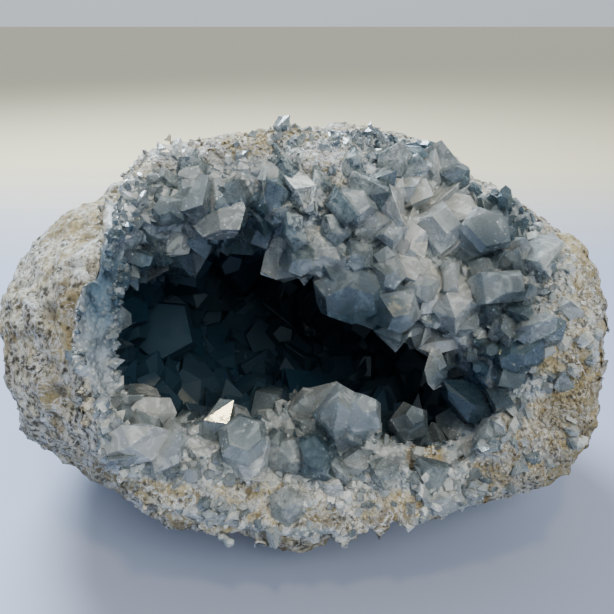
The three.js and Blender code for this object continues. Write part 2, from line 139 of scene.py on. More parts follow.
def patches(points, spots):
    """How much each point lies in any of the spots: x, y, half width, half height, strength."""
    seen = photo_pixels(points)
    total = np.zeros(len(points))
    for x, y, wide, tall, strength in spots:
        reach = ((seen[:, 0] - x) / wide) ** 2 + ((seen[:, 1] - y) / tall) ** 2
        total = np.maximum(total, strength * np.exp(-reach))
    return total


# ---------------------------------------------------------------- meshes

def points_of(mesh):
    flat = np.empty(len(mesh.vertices) * 3, np.float32)
    mesh.vertices.foreach_get("co", flat)
    return flat.reshape(-1, 3).astype(float)


def normals_of(mesh):
    flat = np.empty(len(mesh.vertices) * 3, np.float32)
    mesh.vertices.foreach_get("normal", flat)
    return flat.reshape(-1, 3).astype(float)


def set_points(mesh, points):
    mesh.vertices.foreach_set("co", points.astype(np.float32).ravel())
    mesh.update()


def triangles_of(mesh):
    mesh.calc_loop_triangles()
    flat = np.empty(len(mesh.loop_triangles) * 3, np.int32)
    mesh.loop_triangles.foreach_get("vertices", flat)
    return flat.reshape(-1, 3)


def set_attribute(mesh, name, values):
    attribute = mesh.attributes.get(name) or mesh.attributes.new(name, "FLOAT", "POINT")
    attribute.data.foreach_set("value", values.astype(np.float32))


def mark_edges(mesh):
    """Turns the material number that bevelling gave its new faces into the attribute 'edge'."""
    marks = np.empty(len(mesh.polygons), np.int32)
    mesh.polygons.foreach_get("material_index", marks)
    mesh.polygons.foreach_set("material_index", np.zeros(len(marks), np.int32))
    attribute = mesh.attributes.new("edge", "FLOAT", "FACE")
    attribute.data.foreach_set("value", (marks > 0).astype(np.float32))


def new_object(name, data):
    made = bpy.data.objects.new(name, data)
    bpy.context.scene.collection.objects.link(made)
    return made


def modified(made, *modifiers):
    """Adds modifiers, each a kind and its settings, and bakes them into the object's mesh."""
    for kind, settings in modifiers:
        modifier = made.modifiers.new(kind, kind)
        for key, value in settings.items():
            setattr(modifier, key, value)
    bpy.context.view_layer.update()
    graph = bpy.context.evaluated_depsgraph_get()
    mesh = bpy.data.meshes.new_from_object(made.evaluated_get(graph))
    made.modifiers.clear()
    old = made.data
    made.data = mesh
    bpy.data.meshes.remove(old)
    return mesh


def shade_flat(mesh):
    mesh.polygons.foreach_set("use_smooth", np.zeros(len(mesh.polygons), bool))


def shade_smooth(mesh):
    mesh.polygons.foreach_set("use_smooth", np.ones(len(mesh.polygons), bool))


def tree_of(mesh):
    triangles = triangles_of(mesh)
    return BVHTree.FromPolygons(points_of(mesh).tolist(), triangles.tolist())


def distances(tree, points):
    return np.array([tree.find_nearest(p)[3] for p in points.tolist()])


def drop_loose_lumps(mesh):
    """Keeps only the largest joined part of a mesh."""
    work = bmesh.new()
    work.from_mesh(mesh)
    unseen, parts = set(work.verts), []
    while unseen:
        growing = [unseen.pop()]
        part = list(growing)
        while growing:
            for edge in growing.pop().link_edges:
                for other in edge.verts:
                    if other in unseen:
                        unseen.remove(other)
                        growing.append(other)
                        part.append(other)
        parts.append(part)
    parts.sort(key=len)
    bmesh.ops.delete(work, geom=[v for part in parts[:-1] for v in part], context="VERTS")
    work.to_mesh(mesh)
    work.free()


def finish_piece(piece, material, node=None):
    piece.data.materials.clear()
    piece.data.materials.append(material)
    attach(piece, "root")
    if node:
        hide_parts(node)


# ---------------------------------------------------------------- materials

# The Mix node's sockets for colours.
MIX_SHARE, MIX_FIRST, MIX_SECOND, MIX_RESULT = 0, 6, 7, 2


class Nodes:
    """A material's node tree, with a short way to add each kind of node."""

    def __init__(self, name):
        self.material = bpy.data.materials.new(name)
        self.material.use_nodes = True
        self.tree = self.material.node_tree
        self.tree.nodes.clear()
        self.place = self.add("ShaderNodeTexCoord").outputs["Object"]

    def add(self, kind, inputs=(), **settings):
        node = self.tree.nodes.new(kind)
        for key, value in settings.items():
            setattr(node, key, value)
        for key, value in dict(inputs).items():
            if isinstance(value, bpy.types.NodeSocket):
                self.tree.links.new(value, node.inputs[key])
            else:
                node.inputs[key].default_value = value
        return node

    def noise(self, size_mm, detail=4, rough=0.6, distortion=0.0):
        return self.add("ShaderNodeTexNoise", {
            "Vector": self.place, "Scale": 1 / (size_mm * MM), "Detail": detail,
            "Roughness": rough, "Distortion": distortion}).outputs["Fac"]

    def streaks(self, size_mm, stretch):
        """Noise drawn out along Z."""
        drawn = self.add("ShaderNodeMapping", {
            "Vector": self.place, "Scale": (1, 1, 1 / stretch)}).outputs[0]
        return self.add("ShaderNodeTexNoise", {
            "Vector": drawn, "Scale": 1 / (size_mm * MM), "Detail": 7, "Roughness": 0.72,
            "Distortion": 0.6}).outputs["Fac"]

    def voronoi(self, size_mm):
        """The distance to the nearest cell's point, in cells."""
        return self.add("ShaderNodeTexVoronoi", {
            "Vector": self.place, "Scale": 1 / (size_mm * MM)}).outputs["Distance"]

    def attribute(self, name):
        return self.add("ShaderNodeAttribute", attribute_name=name).outputs["Fac"]

    def between(self, value, low, high, to_low=0.0, to_high=1.0):
        """Eases from to_low, where the value is low, to to_high, where it is high."""
        return self.add("ShaderNodeMapRange", {
            "Value": value, "From Min": low, "From Max": high, "To Min": to_low,
            "To Max": to_high}, interpolation_type="SMOOTHSTEP").outputs["Result"]

    def math(self, operation, first, second=0.0, clamped=False):
        return self.add("ShaderNodeMath", {0: first, 1: second}, operation=operation,
                        use_clamp=clamped).outputs[0]

    def plus(self, total, *others):
        """The sum, held between 0 and 1."""
        for other in others:
            total = self.math("ADD", total, other, clamped=True)
        return total

    def times(self, product, *others):
        """The product, held between 0 and 1."""
        for other in others:
            product = self.math("MULTIPLY", product, other, clamped=True)
        return product

    def mix(self, share, first, second):
        """The first colour where the share is 0, and the second where it is 1."""
        return self.add("ShaderNodeMix", {
            MIX_SHARE: share, MIX_FIRST: first, MIX_SECOND: second},
            data_type="RGBA").outputs[MIX_RESULT]

    def bump(self, height, distance_mm, strength=1.0, normal=None):
        inputs = {"Height": height, "Distance": distance_mm * MM, "Strength": strength}
        if normal:
            inputs["Normal"] = normal
        return self.add("ShaderNodeBump", inputs).outputs["Normal"]

    def output(self, shader, volume=None):
        inputs = {"Surface": shader}
        if volume:
            inputs["Volume"] = volume
        self.add("ShaderNodeOutputMaterial", inputs)
        return self.material


def rgb(red, green, blue):
    """A colour given as seen on screen, 0 to 255, as the linear colour that shaders take. The
    numbers are those of the sRGB curve."""
    linear = [((c / 255 + 0.055) / 1.055) ** 2.4 for c in (red, green, blue)]
    return (*linear, 1.0)


# The rock.
DARK_GRAIN = rgb(58, 56, 48)
PALE_GRAIN = rgb(184, 182, 166)
OCHRE = rgb(150, 138, 98)
BROWN = rgb(84, 72, 48)
GREY_FILM = rgb(192, 200, 202)
PALE_VEIN = rgb(212, 222, 230)
DARK_SPECK = rgb(44, 41, 35)
# Painted shade in the rock's pits, under its ledges and on the bed's shaded crumbly rock.
PAINTED_SHADE = rgb(70, 64, 52)
# The druse bed: its shaded and its bright grains, each at the darkest and the palest tone.
BED_SHADE = (rgb(36, 54, 68), rgb(156, 168, 170))
BED_BRIGHT = (rgb(78, 100, 116), rgb(226, 230, 226))
BED_SUGAR = rgb(222, 230, 234)
# The bed's painted shade far inside.
BED_PAINTED_SHADE = rgb(16, 40, 62)
BED_FROST = rgb(214, 224, 234)
# The crystals.
CRYSTAL_VEIL = rgb(220, 228, 228)
CRYSTAL_ROOT = rgb(190, 202, 208)
# Worn edges, lighter partly from wear and partly as a painted highlight.
CRYSTAL_EDGE_WEAR_AND_HIGHLIGHT = rgb(224, 236, 240)
# The crystals' painted shade far inside.
CRYSTAL_PAINTED_SHADE = rgb(33, 63, 83)
CRYSTAL_FROST = rgb(206, 208, 200)
CRYSTAL_SPECK = rgb(226, 232, 232)
CRYSTAL_GLOSS = rgb(214, 230, 238)
CELESTITE_IOR = 1.62


def rock_colour(nodes):
    """Grey-tan grains with ochre and pale patches, dark specks, pale veins, and painted shade
    where the attribute 'hollow' is set. Returns the colour and the grains."""
    ochre_spot = nodes.times(nodes.attribute("ochre"), 0.22)
    patch = nodes.plus(nodes.noise(13, detail=5, rough=0.65), ochre_spot)
    grain = nodes.noise(1.5, detail=6, rough=0.75)
    colour = nodes.mix(nodes.between(grain, 0.39, 0.6), DARK_GRAIN, PALE_GRAIN)
    ochre = nodes.times(nodes.between(patch, 0.48, 0.64),
                        nodes.between(grain, 0.35, 0.6, 0.6, 0.85))
    colour = nodes.mix(ochre, colour, OCHRE)
    blotch = nodes.noise(6, detail=5, rough=0.7)
    brown = nodes.times(nodes.between(blotch, 0.5, 0.62), nodes.between(patch, 0.42, 0.56), 0.8)
    colour = nodes.mix(brown, colour, BROWN)
    film = nodes.times(nodes.between(nodes.streaks(5, stretch=3.5), 0.5, 0.6),
                       nodes.between(grain, 0.36, 0.54),
                       nodes.between(patch, 0.5, 0.68, 0.7, 0.35))
    colour = nodes.mix(film, colour, GREY_FILM)
    vein = nodes.noise(9, detail=5, rough=0.7, distortion=1.2)
    from_middle = nodes.math("ABSOLUTE", nodes.math("SUBTRACT", vein, 0.5))
    veins = nodes.times(nodes.between(from_middle, 0.022, 0.0), 0.65)
    colour = nodes.mix(veins, colour, PALE_VEIN)
    dark = nodes.times(nodes.between(nodes.voronoi(1.8), 0.46, 0.14),
                       nodes.between(nodes.noise(4), 0.43, 0.55), 0.9)
    colour = nodes.mix(dark, colour, DARK_SPECK)
    # Painted shade where the attribute 'hollow' is set: in pits and under ledges on the rock, and
    # on the bed's shaded crumbly rock.
    pits = nodes.times(nodes.attribute("hollow"), 0.55)
    return nodes.mix(pits, colour, PAINTED_SHADE), grain


def rock_material():
    nodes = Nodes("host_rock_rough")
    colour, grain = rock_colour(nodes)
    relief = nodes.bump(nodes.voronoi(1.3), distance_mm=0.4, strength=0.7)
    relief = nodes.bump(grain, distance_mm=0.8, normal=relief)
    shader = nodes.add("ShaderNodeBsdfPrincipled", {
        "Base Color": colour, "Normal": relief,
        "Roughness": nodes.between(grain, 0.3, 0.7, 0.95, 0.7)})
    return nodes.output(shader.outputs[0])


def bed_material():
    """The druse bed: rock where it is rocky, milky grains elsewhere, and painted shade, deep blue,
    far inside.
    """
    nodes = Nodes("druse_bed")
    rock, grain = rock_colour(nodes)
    sugar = nodes.voronoi(1.1)
    veil = nodes.noise(4, detail=5, rough=0.7, distortion=0.5)
    tone = nodes.attribute("tone")
    milk = nodes.mix(nodes.between(veil, 0.38, 0.62), nodes.mix(tone, *BED_SHADE),
                     nodes.mix(tone, *BED_BRIGHT))
    white = nodes.times(nodes.between(sugar, 0.5, 0.1, 0.0, 0.4),
                        nodes.between(tone, 0.0, 0.6, 0.2, 1.0))
    milk = nodes.mix(white, milk, BED_SUGAR)
    # Painted shade: deep blue far inside, where little light reaches.
    colour = nodes.mix(nodes.attribute("deep"), milk, BED_PAINTED_SHADE)
    ragged = nodes.plus(nodes.attribute("rocky"), nodes.math("SUBTRACT", veil, 0.5))
    rocky = nodes.between(ragged, 0.35, 0.65)
    colour = nodes.mix(rocky, colour, rock)
    rime = nodes.noise(3.5, detail=6, rough=0.75, distortion=1.5)
    frost = nodes.times(nodes.attribute("frost"), nodes.between(rime, 0.42, 0.56), 0.85)
    colour = nodes.mix(frost, colour, BED_FROST)
    relief = nodes.bump(sugar, distance_mm=0.4, strength=0.7)
    relief = nodes.bump(grain, distance_mm=0.35, strength=0.7, normal=relief)
    shader = nodes.add("ShaderNodeBsdfPrincipled", {
        "Base Color": colour, "Normal": relief,
        "Roughness": nodes.between(rocky, 0, 1, 0.25, 0.8)})
    return nodes.output(shader.outputs[0])


def crystal_material(name, clear, pale, dark, cloudy, absorb_colour, absorb):
    """Celestite: see-through, with milky roots, thin veils, soft frosting, worn edges that also
    carry a painted highlight, and painted shade far inside. The darker its tone, the clearer it
    is. Clear is how much light the clearest parts let through, pale and dark are its colours by
    tone, and cloudy is how rough its cloudiest faces are."""
    nodes = Nodes(name)
    tone, deep = nodes.attribute("tone"), nodes.attribute("deep")
    veil = nodes.noise(6, distortion=1.5)
    colour = nodes.mix(tone, dark, pale)
    veils = nodes.times(nodes.between(veil, 0.5, 0.62), nodes.between(tone, 0, 1, 0.15, 0.5),
                        nodes.between(deep, 0, 0.6, 1.0, 0.15))
    colour = nodes.mix(veils, colour, CRYSTAL_VEIL)
    root = nodes.times(nodes.between(nodes.attribute("tip"), 0.6, 0.05), 0.3)
    colour = nodes.mix(root, colour, CRYSTAL_ROOT)
    # Worn edges, lighter partly from wear and partly as a painted highlight, less so far inside.
    edge = nodes.times(nodes.attribute("edge"), nodes.between(veil, 0.3, 0.6, 0.4, 0.9),
                       nodes.between(deep, 0, 1, 1.0, 0.35))
    colour = nodes.mix(edge, colour, CRYSTAL_EDGE_WEAR_AND_HIGHLIGHT)
    # Painted shade: deep blue far inside, where little light reaches.
    colour = nodes.mix(nodes.between(deep, 0, 0.6, 0.0, 0.97), colour, CRYSTAL_PAINTED_SHADE)
    rime = nodes.noise(3.2, detail=6, rough=0.75, distortion=1.2)
    frost = nodes.times(nodes.attribute("frost"), nodes.between(rime, 0.43, 0.56))
    colour = nodes.mix(nodes.times(frost, 0.75), colour, CRYSTAL_FROST)
    specks = nodes.times(nodes.between(nodes.voronoi(1.1), 0.3, 0.08),
                         nodes.between(nodes.noise(5, detail=3), 0.48, 0.62),
                         nodes.between(deep, 0, 0.4, 0.6, 0.0))
    colour = nodes.mix(specks, colour, CRYSTAL_SPECK)
    cloud = nodes.noise(2.6, detail=5, rough=0.7)
    rough = nodes.plus(nodes.between(cloud, 0.44, 0.68, 0.03, cloudy), nodes.times(deep, 0.38),
                       nodes.times(edge, 0.2), nodes.times(frost, 0.4))
    pale_body = nodes.times(nodes.between(tone, 0.1, 0.9, 0.04, 0.26),
                            nodes.between(deep, 0, 0.5, 1.0, 0.0))
    milky = nodes.plus(nodes.times(veils, 0.4), nodes.times(edge, 0.4), nodes.times(deep, 0.35),
                       pale_body, nodes.times(frost, 0.6), nodes.times(specks, 0.5))
    see_through = nodes.math("SUBTRACT", clear, milky)
    relief = nodes.bump(nodes.noise(1.4), distance_mm=0.05, strength=0.18)
    shader = nodes.add("ShaderNodeBsdfPrincipled", {
        "Base Color": colour, "Normal": relief, "Roughness": rough,
        "Specular Tint": CRYSTAL_GLOSS, "IOR": CELESTITE_IOR,
        "Transmission Weight": see_through})
    volume = nodes.add("ShaderNodeVolumeAbsorption", {"Color": absorb_colour, "Density": absorb})
    return nodes.output(shader.outputs[0], volume.outputs[0])


# ---------------------------------------------------------------- host rock

# All lists of spots are in the photograph's pixels, each spot as patches() takes it.
# Where the rock is ochre:
OCHRE_SPOTS = [
    (425, 462, 28, 22, 1.2), (262, 490, 50, 16, 0.9), (575, 270, 30, 60, 1.0),
    (565, 345, 30, 50, 1.0), (84, 215, 26, 26, 0.9), (62, 335, 14, 34, 0.9),
    (60, 390, 20, 20, 0.6), (545, 450, 50, 30, 0.9), (235, 140, 80, 16, 1.0),
    (150, 470, 60, 18, 0.6), (350, 508, 130, 22, 1.1), (590, 400, 30, 60, 1.0),
    (540, 400, 40, 50, 0.8),
]

rind_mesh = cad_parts["rind"].data
crust_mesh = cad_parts["crystal_crust"].data
rind_tree = tree_of(rind_mesh)
crust_tree = tree_of(crust_mesh)

# How thick the rock's layers are. Their broken edges are its ledges.
LAYER_THICKNESS = 3.6 * MM


def make_host_rock():
    """The rind's own shape with lumps, ledges, pits and grains. Returns the points of its skin,
    the part that the crust doesn't cover."""
    piece = new_object("host_rock", rind_mesh.copy())
    mesh = modified(piece, ("REMESH", {"mode": "VOXEL", "voxel_size": VOXEL_SIZE}),
                    ("SMOOTH", {"factor": 0.5, "iterations": 12}))
    points, normals = points_of(mesh), normals_of(mesh)
    outside = smoothstep(0.8 * MM, 3 * MM, distances(crust_tree, points))
    standing = smoothstep(0.5 * MM, 3 * MM, points[:, 2])
    # Heights are in millimetres here.
    lumps = 1.5 * noise(points, size_mm=13, seed=1) + 1.1 * noise(points, size_mm=6, seed=2)
    pits, chances, _ = cells(points, size_mm=6.5, seed=3)
    pit = smoothstep(0.5, 0.15, pits) * (chances[:, 0] > 0.45)
    _, own, way = cells(points, size_mm=3.2, seed=9)
    grains = 0.7 * (own[:, 0] - 0.5) + 0.9 * np.einsum("ij,ij->i", way, own - 0.5)
    warp = noise(points, size_mm=22, seed=5)
    layer = (points[:, 2] + 0.25 * points[:, 0]) / LAYER_THICKNESS + 1.4 * warp
    step = layer % 1.0
    ledge = step * smoothstep(45 * MM, 25 * MM, points[:, 2])
    fine = 0.6 * noise(points, size_mm=2.6, seed=7) + 0.3 * noise(points, size_mm=1.5, seed=8)
    height = lumps - 1.5 * pit + 0.9 * ledge + grains + fine
    lift = (height - 0.6) * outside * standing * MM
    set_points(mesh, points + normals * lift[:, None])
    set_attribute(mesh, "ochre", patches(points, OCHRE_SPOTS))
    # Painted shade in the pits and at the foot of each ledge.
    hollow = np.clip(pit + 0.5 * (1 - step) * (ledge > 0), 0, 1)
    set_attribute(mesh, "hollow", hollow * outside)
    shade_smooth(mesh)
    finish_piece(piece, rock_material(), "rind")
    return points[outside > 0.6]


skin_points = make_host_rock()
skin_tree = KDTree(len(skin_points))
for index, place in enumerate(skin_points.tolist()):
    skin_tree.insert(place, index)
skin_tree.balance()


# ---------------------------------------------------------------- druse bed

# Where the crust is crumbly rock rather than crystals:
ROCKY_SPOTS = [
    (235, 148, 80, 20, 1.0), (150, 168, 30, 18, 0.8), (310, 140, 40, 16, 0.8),
    (425, 460, 26, 20, 0.9), (262, 492, 60, 18, 1.0), (395, 500, 50, 16, 0.9),
    (330, 515, 120, 16, 1.0), (565, 235, 30, 34, 1.0), (590, 300, 30, 50, 1.0),
    (560, 345, 38, 44, 1.0), (540, 430, 50, 36, 1.0), (580, 400, 38, 56, 1.0),
    (520, 474, 60, 24, 1.0), (84, 215, 20, 26, 0.9), (66, 300, 16, 50, 0.8),
    (84, 440, 24, 34, 0.9), (150, 495, 70, 20, 1.0), (350, 150, 60, 20, 0.6),
    (325, 172, 38, 36, 0.85),
]
# Where a white frosty film lies over the bed:
FROST_SPOTS = [
    (330, 160, 60, 26, 0.9), (310, 205, 24, 44, 1.0), (180, 150, 70, 18, 0.6),
    (392, 150, 30, 20, 0.6), (560, 290, 40, 60, 0.25), (520, 440, 60, 40, 0.25),
    (330, 490, 120, 26, 0.4), (430, 250, 24, 30, 0.4),
]
# Where the crystals are as small as sugar:
SUGAR_SPOTS = [
    (106, 290, 24, 70, 1.0), (96, 380, 26, 50, 0.9), (110, 210, 30, 40, 0.7),
    (300, 145, 130, 16, 0.6), (330, 500, 160, 24, 0.5), (560, 300, 36, 90, 0.3),
    (550, 430, 50, 50, 0.2), (140, 450, 60, 24, 0.5),
]
# Where crumbly matrix fills the gaps between the crystals:
FILLED_SPOTS = [
    (240, 150, 110, 26, 1.0), (335, 165, 70, 30, 1.0), (300, 205, 24, 40, 0.8),
    (560, 300, 44, 90, 1.0), (530, 450, 70, 40, 1.2), (425, 462, 34, 24, 0.9),
    (330, 500, 160, 26, 0.8), (100, 300, 24, 80, 0.5), (520, 330, 40, 30, 0.7),
]
# Crystals inside the hollow that the light still reaches:
LIT_SPOTS = [
    (158, 334, 50, 48, 0.1), (246, 238, 44, 44, 0.25), (238, 292, 34, 26, 0.4),
    (330, 385, 64, 24, 0.35), (418, 425, 26, 24, 0.5), (300, 330, 40, 20, 0.2),
]
# Crystals near the mouth that stand in a shaded gap:
SHADED_SPOTS = [(470, 385, 32, 34, 0.75), (150, 290, 34, 36, 0.4)]
# Large crystals that stand in the shade:
SHADED_FACES = [(165, 328, 44, 46, 0.5), (385, 320, 40, 26, 0.25)]
# Where the blue crust reaches the rock's skin:
BLUE_RIM_SPOTS = [(106, 292, 22, 62, 1.0), (104, 380, 20, 36, 0.6)]
# Where the crumbly rock gets painted shade, broken up by noise like dark pits:
SHADED_ROCK_SPOTS = [
    (545, 425, 70, 60, 1.7), (600, 340, 40, 60, 1.0), (500, 480, 50, 26, 1.0),
    (250, 500, 50, 20, 0.3), (560, 260, 40, 40, 0.8),
]


def painted_rock_shade(points):
    """How much painted shade the crumbly rock gets at these points, broken up by noise like pits.
    """
    chance = (0.45 + 0.7 * noise(points, size_mm=5, seed=61)
              + 0.5 * noise(points, size_mm=2.2, seed=62))
    return np.clip(patches(points, SHADED_ROCK_SPOTS) * chance, 0, 1)


def zones(points):
    """For points of the crust: how deep inside, how rocky, and how far from the rock's skin."""
    inward = -((points - BREAK_POINT) @ BREAK_FACING)
    # Deep also sets the painted shade far inside: less where the light still reaches, more in
    # shaded spots.
    deep = smoothstep(1 * MM, 18 * MM, inward) * (1 - patches(points, LIT_SPOTS))
    deep = np.maximum(deep, patches(points, SHADED_SPOTS))
    rim = np.array([skin_tree.find(p)[2] for p in points.tolist()])
    ragged = rim + 2.5 * MM * noise(points, size_mm=9, seed=41)
    edge = smoothstep(6 * MM, 2 * MM, ragged) * smoothstep(8 * MM, 2 * MM, inward)
    edge *= 1 - patches(points, BLUE_RIM_SPOTS)
    spots = patches(points, ROCKY_SPOTS) * smoothstep(8 * MM, 2 * MM, inward)
    return deep, np.clip(np.maximum(edge, spots), 0, 1), rim


# Where the crystals are paler or darker than elsewhere, partly in their own colour and partly as
# painted light where light falls on them and painted shade where it doesn't:
PALE_AND_LIT_SPOTS = [
    (310, 190, 26, 44, 0.7), (350, 415, 36, 26, 0.4), (236, 446, 40, 30, 0.3),
    (290, 498, 50, 22, 0.7), (140, 395, 26, 26, 0.5), (395, 210, 60, 40, 0.9),
    (175, 190, 50, 20, 0.6), (455, 285, 14, 26, 0.9), (430, 225, 40, 46, 0.9),
    (500, 430, 30, 24, 0.4), (560, 250, 30, 30, 0.6), (250, 170, 60, 14, 0.6),
    (440, 310, 40, 20, 0.4),
]
DARK_AND_SHADED_SPOTS = [
    (505, 240, 46, 30, 0.7), (535, 290, 40, 26, 0.5), (400, 150, 60, 22, 0.6),
    (246, 240, 50, 46, 0.8), (365, 320, 66, 36, 1.0), (150, 290, 50, 60, 0.9),
    (465, 390, 44, 44, 1.0), (110, 260, 30, 40, 0.4), (290, 420, 60, 26, 0.4),
    (200, 215, 60, 24, 0.4), (440, 430, 40, 30, 0.5), (150, 370, 50, 30, 0.5),
    (104, 295, 30, 66, 1.0), (495, 350, 50, 40, 0.5), (490, 240, 34, 26, 0.9),
    (222, 415, 50, 16, 0.6), (300, 450, 40, 24, 0.4), (185, 425, 30, 24, 0.3),
    (525, 432, 54, 34, 0.9), (240, 440, 60, 26, 0.4),
]


def tones_and_painted_light(points):
    """How pale the crystals at these points are, from 0 to 1: a tone that differs by chance, with
    painted light and painted shade from the spots.
    """
    plain = 0.5 + 0.4 * noise(points, size_mm=20, seed=31)
    return np.clip(plain + 0.45 * patches(points, PALE_AND_LIT_SPOTS)
                   - 0.55 * patches(points, DARK_AND_SHADED_SPOTS), 0, 1)


# The bed grows where the rock lies this near to the crust's solid.
CRUST_REACH = 1.6 * MM
# Edges of the rock that are longer than this are halved first, in two rounds.
LONG_EDGE = 5 * MM
BED_THICKNESS = 3.9 * MM


def make_bed():
    """A rough layer on the inside of the rock and on its broken face. Returns its mesh, points
    and normals, which points lie on its front, and what crystals grow by."""
    mesh = rind_mesh.copy()
    work = bmesh.new()
    work.from_mesh(mesh)
    for _ in range(2):
        long = [e for e in work.edges if e.calc_length() > LONG_EDGE]
        bmesh.ops.subdivide_edges(work, edges=long, cuts=1, use_grid_fill=True)
    bmesh.ops.triangulate(work, faces=work.faces[:])
    bare = [f for f in work.faces
            if crust_tree.find_nearest(f.calc_center_median())[3] > CRUST_REACH]
    bmesh.ops.delete(work, geom=bare, context="FACES")
    work.to_mesh(mesh)
    work.free()
    piece = new_object("druse_bed", mesh)
    mesh = modified(piece, ("SUBSURF", {"levels": 1, "render_levels": 1}),
                    ("SOLIDIFY", {"thickness": BED_THICKNESS, "offset": 1.0}),
                    ("REMESH", {"mode": "VOXEL", "voxel_size": VOXEL_SIZE}),
                    ("SMOOTH", {"factor": 0.5, "iterations": 4}))
    drop_loose_lumps(mesh)
    points, normals = points_of(mesh), normals_of(mesh)
    front = smoothstep(1.6 * MM, 3.2 * MM, distances(rind_tree, points))
    deep, rocky, rim = zones(points)
    # Heights are in millimetres here.
    _, own, way = cells(points, size_mm=4.2, seed=21)
    facets = 0.9 * (own[:, 0] - 0.5) + 1.5 * np.einsum("ij,ij->i", way, own - 0.5)
    rough = 0.9 * noise(points, size_mm=4.5, seed=22) + 0.6 * noise(points, size_mm=2.2, seed=23)
    swell = noise(points, size_mm=11, seed=24)
    filled = patches(points, FILLED_SPOTS) * (1 - deep) * smoothstep(2 * MM, 7 * MM, rim)
    filled *= 0.7 + 0.6 * noise(points, size_mm=7, seed=25)
    height = swell + facets * (1 - 0.6 * rocky) + rough * (0.3 + 0.7 * rocky) + 3.6 * filled
    height -= 3 * smoothstep(6 * MM, 1 * MM, rim)
    moved = points + normals * (height * front * MM)[:, None]
    set_points(mesh, moved)
    set_attribute(mesh, "deep", deep)
    set_attribute(mesh, "rocky", rocky)
    set_attribute(mesh, "tone", tones_and_painted_light(moved))
    set_attribute(mesh, "ochre", patches(moved, OCHRE_SPOTS))
    # The bed's crumbly rock gets painted shade in its shaded spots.
    set_attribute(mesh, "hollow", painted_rock_shade(moved))
    set_attribute(mesh, "frost", patches(moved, FROST_SPOTS) * (1 - deep))
    shade_smooth(mesh)
    finish_piece(piece, bed_material(), "crystal_crust")
    traits = {"deep": deep, "rocky": np.maximum(rocky, 0.8 * np.clip(filled, 0, 1)),
              "sugar": patches(moved, SUGAR_SPOTS) * (1 - deep),
              "rim": smoothstep(9 * MM, 3 * MM, rim)}
    return {"mesh": mesh, "points": moved, "normals": normals, "front": front,
            "traits": traits}


bed = make_bed()


# ---------------------------------------------------------------- crystals

# How far from the rind the crust's layer between the crystals lies: its underside, its top and how
# high it may rise at a crystal's foot. Then how high a crystal reaches and how many faces it has
# at least.
LAYER_UNDERSIDE = 2.6 * MM
LAYER_TOP = 4.7 * MM
LAYER_CREST = 12 * MM
CRYSTAL_LEAST_HEIGHT = 6.5 * MM
CRYSTAL_LEAST_FACES = 4
# The layer bends by less than this from face to face, and lies along the rind where the two
# normals' product is over this.
GENTLE_BEND = math.radians(30)
ALONG_RIND = 0.9


def lining_faces(work):
    """The faces of the crust's solid that aren't on a crystal: its back, its rim and the layer
    between the crystals, which is followed from face to face where it bends gently. Returns them
    and each corner's distance from the rind."""
    reach = {v: rind_tree.find_nearest(v.co)[3] for v in work.verts}
    lining, growing = set(), []
    for face in work.faces:
        far = [reach[v] for v in face.verts]
        facing = rind_tree.find_nearest(face.calc_center_median())[1]
        flat = max(far) < LAYER_TOP and abs(face.normal.dot(facing)) > ALONG_RIND
        if flat or min(far) < LAYER_UNDERSIDE:
            lining.add(face)
            growing.append(face)
    while growing:
        for edge in growing.pop().edges:
            gentle = edge.calc_face_angle(math.pi) < GENTLE_BEND
            for face in edge.link_faces:
                low = max(reach[v] for v in face.verts) < LAYER_CREST
                if gentle and low and face not in lining:
                    lining.add(face)
                    growing.append(face)
    return lining, reach


def loose_low_parts(work, reach):
    """The faces of joined groups that are too low or too few to be a crystal."""
    low, seen = [], set()
    for first in work.faces:
        if first in seen:
            continue
        seen.add(first)
        group, growing = [], [first]
        while growing:
            face = growing.pop()
            group.append(face)
            for edge in face.edges:
                for other in edge.link_faces:
                    if other not in seen:
                        seen.add(other)
                        growing.append(other)
        highest = max(reach[v] for face in group for v in face.verts)
        if highest < CRYSTAL_LEAST_HEIGHT or len(group) < CRYSTAL_LEAST_FACES:
            low += group
    return low


# Corners nearer than this are one corner, and faces that bend by less than this are one face.
WELD_DISTANCE = 0.01 * MM
FLAT_BEND = math.radians(2)
# Edges sharper than this are worn by this much.
SHARP_BEND = math.radians(20)
WORN_WIDTH = 0.3 * MM
# How far the crystals' open ends are drawn out into the layer.
ROOT_LENGTH_MM = 2.4


